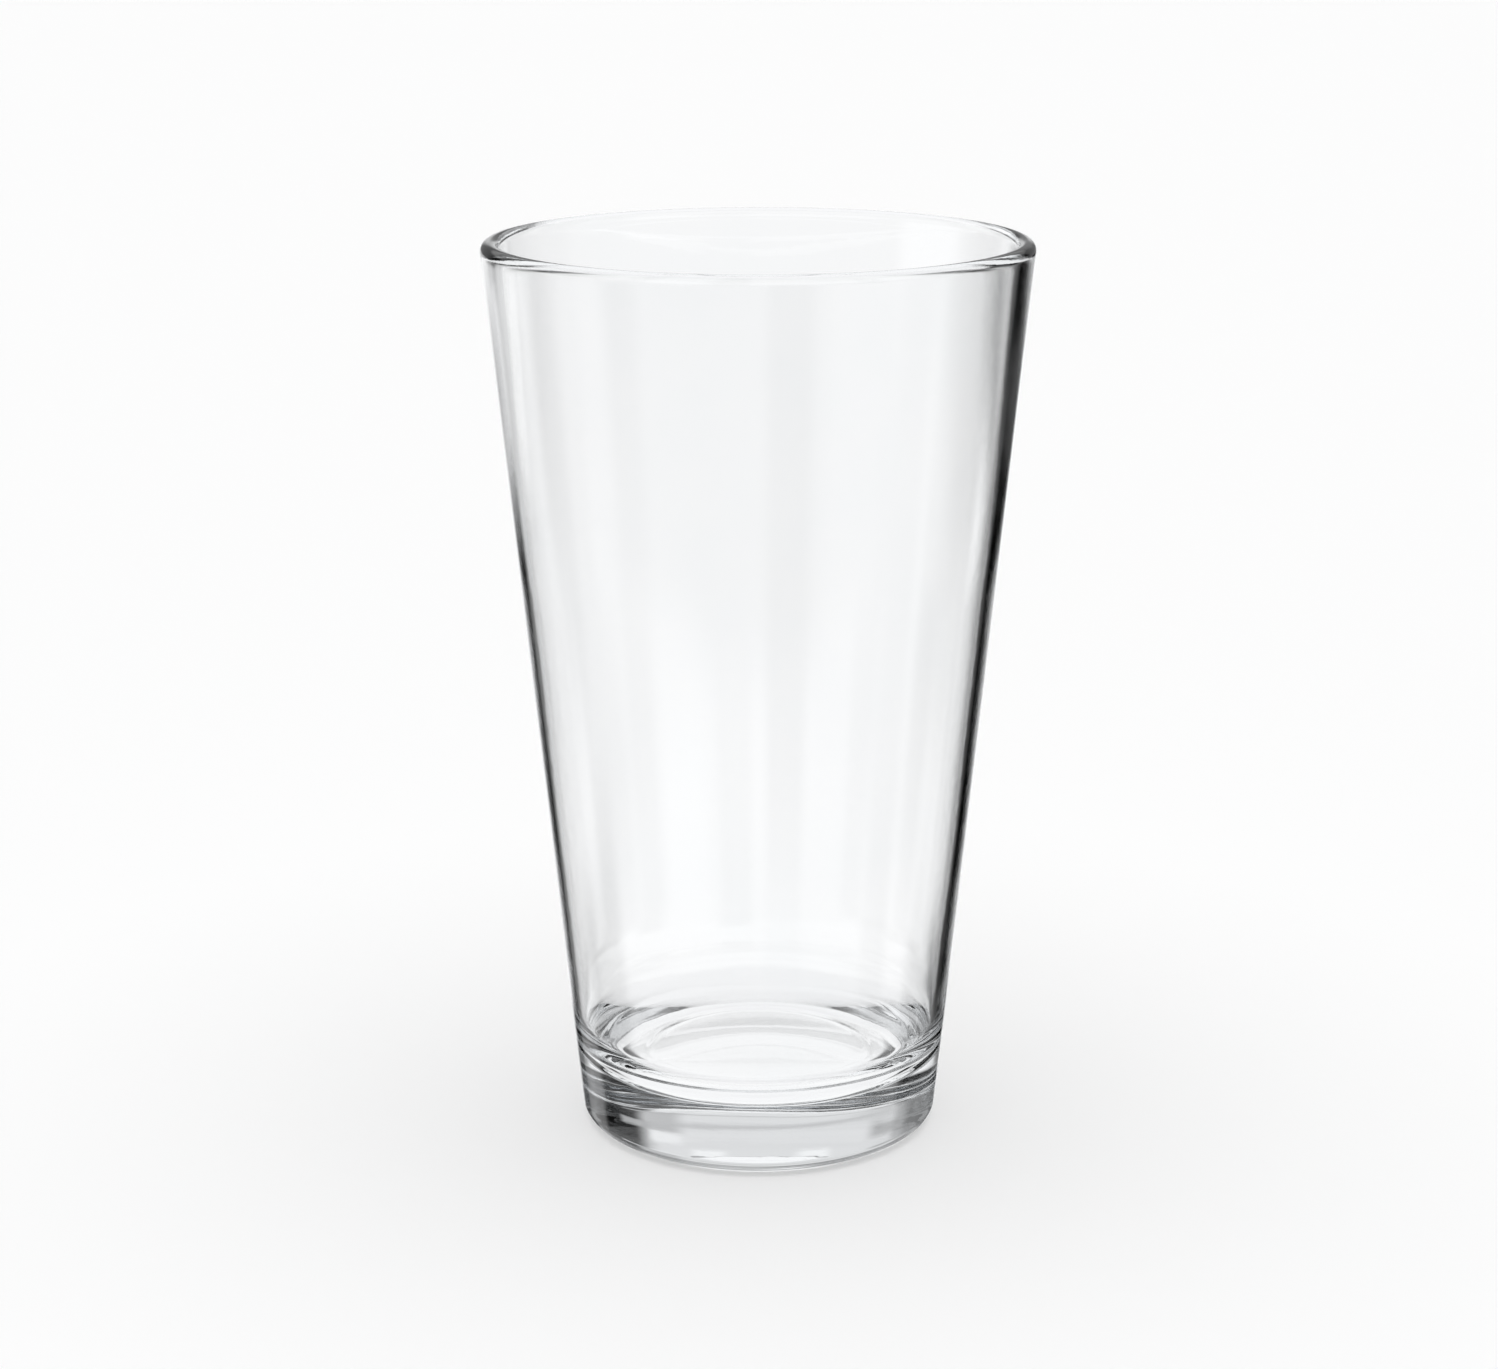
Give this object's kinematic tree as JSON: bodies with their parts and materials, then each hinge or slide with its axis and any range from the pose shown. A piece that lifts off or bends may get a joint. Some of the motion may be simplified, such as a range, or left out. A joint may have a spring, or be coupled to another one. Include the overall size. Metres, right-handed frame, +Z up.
{
  "type": "mixing glass",
  "caption": "Clear conical bar mixing glass with a rounded bead at the lip, a thin straight wall, a thick solid base, a rounded heel and a very shallow hollow under the foot.",
  "frame": {"origin": "centre of the base, on the surface that the glass stands on", "axes": "+Z up along the glass's axis, from the foot to the lip; the glass is round, so +X and +Y are any two sides"},
  "size_m": [0.0888, 0.0888, 0.1492],
  "materials": {
    "clear_glass": "polished"
  },
  "bodies": {
    "root": {"glass_body": "clear_glass"}
  },
  "joints": []
}
